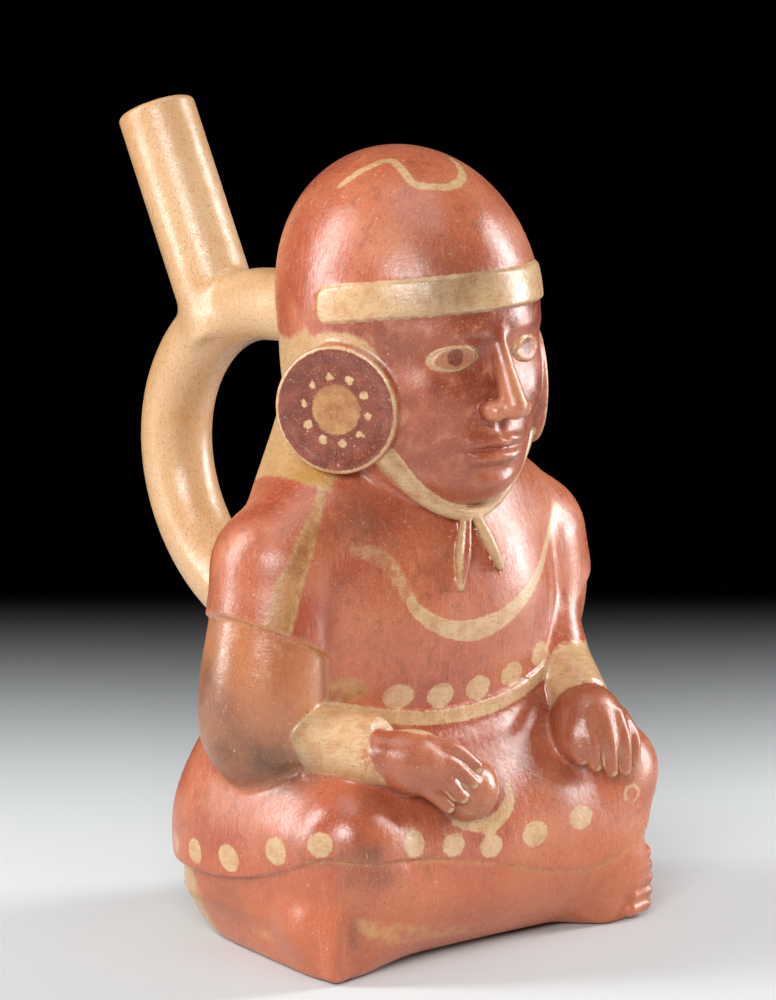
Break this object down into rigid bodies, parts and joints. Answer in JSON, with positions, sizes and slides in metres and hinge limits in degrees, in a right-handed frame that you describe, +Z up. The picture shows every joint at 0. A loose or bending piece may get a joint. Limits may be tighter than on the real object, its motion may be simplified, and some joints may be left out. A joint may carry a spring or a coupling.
{
  "type": "stirrup spout vessel",
  "caption": "Hollow fired-clay bottle in the shape of a seated figure with a cap and ear discs, with a ring-shaped stirrup handle behind and a straight spout on it.",
  "frame": {"origin": "on the flat underside, straight below the middle of the figure's head", "axes": "+Z up; the figure faces -Y, so its left hand is at +X; the stirrup and the spout stand behind it, at +Y, in the YZ plane"},
  "size_m": [0.1337, 0.1647, 0.2199],
  "materials": {
    "slipped_clay": "burnished red and cream slip, worn matt in places"
  },
  "bodies": {
    "root": {"vessel": "slipped_clay"}
  },
  "joints": []
}
